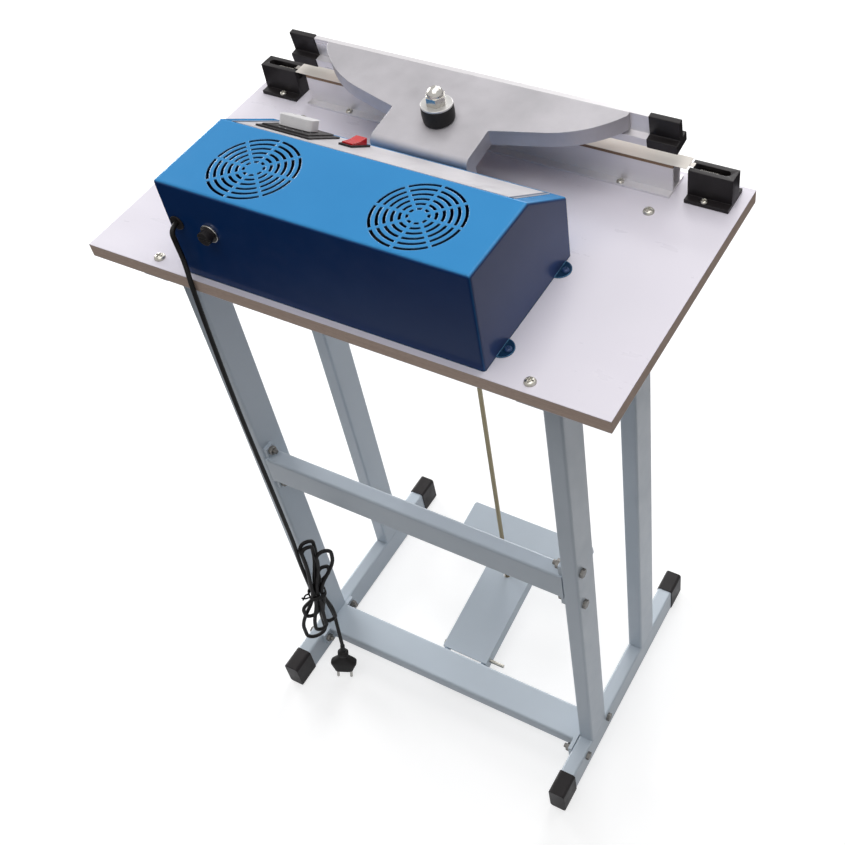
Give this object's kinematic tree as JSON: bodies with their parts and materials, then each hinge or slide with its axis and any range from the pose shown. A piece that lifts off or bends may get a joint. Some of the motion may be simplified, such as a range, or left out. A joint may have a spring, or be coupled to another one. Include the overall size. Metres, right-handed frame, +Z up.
{
  "type": "impulse heat sealer",
  "caption": "Foot-operated impulse bag sealer: tubular stand, white tabletop, blue control box, winged press arm over a heated jaw, pull rod to a pedal.",
  "frame": {"origin": "on the floor, under the middle of the machine's length and depth", "axes": "+Z up, -Y towards the operator, +X to the operator's right"},
  "size_m": [0.58, 0.378, 0.868],
  "materials": {
    "stand_paint": "pale blue-grey powder coat",
    "black_plastic": "moulded black plastic",
    "zinc_steel": "zinc plated",
    "tabletop_board": "white laminate over a brown pressed board",
    "box_blue": "glossy blue paint",
    "overlay_cream": "pale printed film, left bare",
    "knob_grey": "milky grey plastic",
    "rocker_red": "red plastic",
    "bright_metal": "bright plated",
    "cast_aluminium": "satin casting",
    "jaw_aluminium": "drawn extrusion",
    "silicone_red": "silicone rubber",
    "black_rubber": "black rubber",
    "insulation": "brown insulating board",
    "element_metal": "resistance band",
    "cover_cloth": "glass cloth coated for release",
    "core_iron": "varnished laminations",
    "coil_wrap": "taped winding",
    "cord_black": "black flexible sheath"
  },
  "bodies": {
    "frame": {"left_foot": "stand_paint", "right_foot": "stand_paint", "left_front_leg": "stand_paint", "left_rear_leg": "stand_paint", "right_front_leg": "stand_paint", "right_rear_leg": "stand_paint", "flat_bars": "stand_paint", "rear_crossbar": "stand_paint", "base_rail": "stand_paint", "foot_caps": "black_plastic", "left_lower_end_block": "black_plastic", "right_lower_end_block": "black_plastic", "closing_switch": "black_plastic", "rocker_switch_body": "black_plastic", "fuse_cap": "black_plastic", "cord_gland": "black_plastic", "timer_body": "black_plastic", "timer_bezel": "black_plastic", "frame_bolts": "zinc_steel", "hex_nuts": "zinc_steel", "table_bolts": "zinc_steel", "wood_screws": "zinc_steel", "pedal_pin": "zinc_steel", "hinge_pin": "zinc_steel", "hinge_bracket": "zinc_steel", "return_spring": "zinc_steel", "tension_springs": "zinc_steel", "control_box_base": "zinc_steel", "tabletop": "tabletop_board", "control_box_shell": "box_blue", "panel_overlay": "overlay_cream", "fuse_holder": "bright_metal", "plug_pins": "bright_metal", "lower_jaw_bar": "jaw_aluminium", "insulating_strip": "insulation", "heating_element": "element_metal", "sealing_cover": "cover_cloth", "transformer_core": "core_iron", "transformer_coil": "coil_wrap", "power_cord": "cord_black", "cord_hank": "cord_black", "cord_tail": "cord_black", "mains_plug": "cord_black", "cord_tie": "cord_black"},
    "press_arm": {"press_arm": "cast_aluminium", "upper_jaw_bar": "jaw_aluminium", "silicone_pad": "silicone_red", "upper_end_caps": "black_plastic", "upper_jaw_screws": "zinc_steel", "rubber_bush": "black_rubber"},
    "pull_rod": {"pull_rod": "zinc_steel", "stud_washer": "bright_metal", "dome_nut": "bright_metal", "rod_nuts": "zinc_steel", "switch_collar": "zinc_steel"},
    "pedal": {"pedal_arm": "stand_paint", "pedal_tread": "stand_paint"},
    "timer_knob": {"timer_knob": "knob_grey"},
    "rocker_button": {"rocker_button": "rocker_red"},
    "switch_plunger": {"switch_plunger": "knob_grey"}
  },
  "joints": [
    {"name": "arm_hinge", "type": "hinge", "parent": "frame", "child": "press_arm", "pos_m": [0, -0.05325, 0.778], "axis": [1, 0, 0], "range_deg": [0, 7.5], "stiffness_Nm_per_rad": 12, "springref_deg": -14.32, "deforming": ["return_spring"]},
    {"name": "rod_swing", "type": "hinge", "parent": "press_arm", "child": "pull_rod", "pos_m": [0, -0.08857, 0.83913], "axis": [1, 0, 0], "range_deg": [-7.12, 0], "deforming": ["rubber_bush"]},
    {"name": "pedal_hinge", "type": "hinge", "parent": "frame", "child": "pedal", "pos_m": [0, 0.05075, 0.03], "axis": [1, 0, 0], "range_deg": [0, 2.43]},
    {"name": "timer_turn", "type": "hinge", "parent": "frame", "child": "timer_knob", "pos_m": [0.101, 0.00012, 0.84829], "axis": [0, -0.5474, 0.8369], "range_deg": [-120, 150]},
    {"name": "rocker_tilt", "type": "hinge", "parent": "frame", "child": "rocker_button", "pos_m": [0.0423, -0.00796, 0.8442], "axis": [1, 0, 0], "range_deg": [0, 26]},
    {"name": "plunger_slide", "type": "slide", "parent": "frame", "child": "switch_plunger", "axis": [0, 0, -1], "range_m": [0, 0.0013]}
  ],
  "couplings": [
    {"joint": "rod_swing", "follows": "arm_hinge", "ratio": -0.93635},
    {"joint": "pedal_hinge", "follows": "arm_hinge", "ratio": 0.31118},
    {"joint": "plunger_slide", "follows": "arm_hinge", "m_per_rad": 0.009167}
  ]
}
